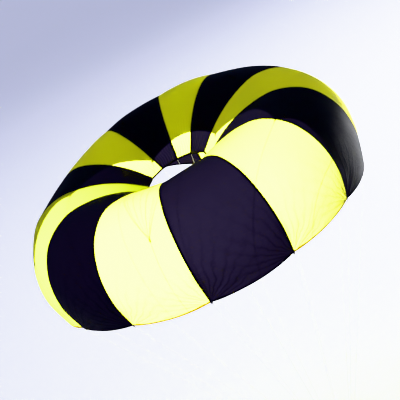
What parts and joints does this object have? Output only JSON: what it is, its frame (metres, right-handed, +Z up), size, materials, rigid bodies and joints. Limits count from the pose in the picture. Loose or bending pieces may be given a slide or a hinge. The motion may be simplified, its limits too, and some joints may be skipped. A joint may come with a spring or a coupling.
{
  "type": "inflated ring parachute canopy",
  "caption": "Open round parachute canopy in black and yellow gores, its apex pulled down to a ring, with its taut lines meeting at a webbing riser loop.",
  "frame": {"origin": "in the eye of the riser loop, on the webbing that the load bears on", "axes": "+Z up the canopy's axis from the riser to the vent; +X towards the seam between the last gore and the first"},
  "size_m": [2.5417, 2.5042, 3.1568],
  "materials": {
    "yellow_cloth": "fluorescent yellow coated ripstop, sheer against light",
    "black_cloth": "blue-black coated ripstop",
    "tape": "black woven tape",
    "line": "pale braided cord",
    "webbing": "black webbing and binding"
  },
  "bodies": {
    "root": {"gore_01": "black_cloth", "gore_02": "yellow_cloth", "gore_03": "black_cloth", "gore_04": "yellow_cloth", "gore_05": "black_cloth", "gore_06": "yellow_cloth", "gore_07": "black_cloth", "gore_08": "yellow_cloth", "gore_09": "black_cloth", "gore_10": "yellow_cloth", "gore_11": "black_cloth", "gore_12": "yellow_cloth", "seam_tape_01": "tape", "seam_tape_02": "tape", "seam_tape_03": "tape", "seam_tape_04": "tape", "seam_tape_05": "tape", "seam_tape_06": "tape", "seam_tape_07": "tape", "seam_tape_08": "tape", "seam_tape_09": "tape", "seam_tape_10": "tape", "seam_tape_11": "tape", "seam_tape_12": "tape", "vent_band": "tape", "suspension_line_01": "line", "suspension_line_02": "line", "suspension_line_03": "line", "suspension_line_04": "line", "suspension_line_05": "line", "suspension_line_06": "line", "suspension_line_07": "line", "suspension_line_08": "line", "suspension_line_09": "line", "suspension_line_10": "line", "suspension_line_11": "line", "suspension_line_12": "line", "apex_line_01": "line", "apex_line_02": "line", "apex_line_03": "line", "apex_line_04": "line", "apex_line_05": "line", "apex_line_06": "line", "apex_line_07": "line", "apex_line_08": "line", "apex_line_09": "line", "apex_line_10": "line", "apex_line_11": "line", "apex_line_12": "line", "centre_line": "line", "apex_keeper": "webbing", "line_keeper": "webbing", "riser_loop": "webbing"}
  },
  "joints": []
}
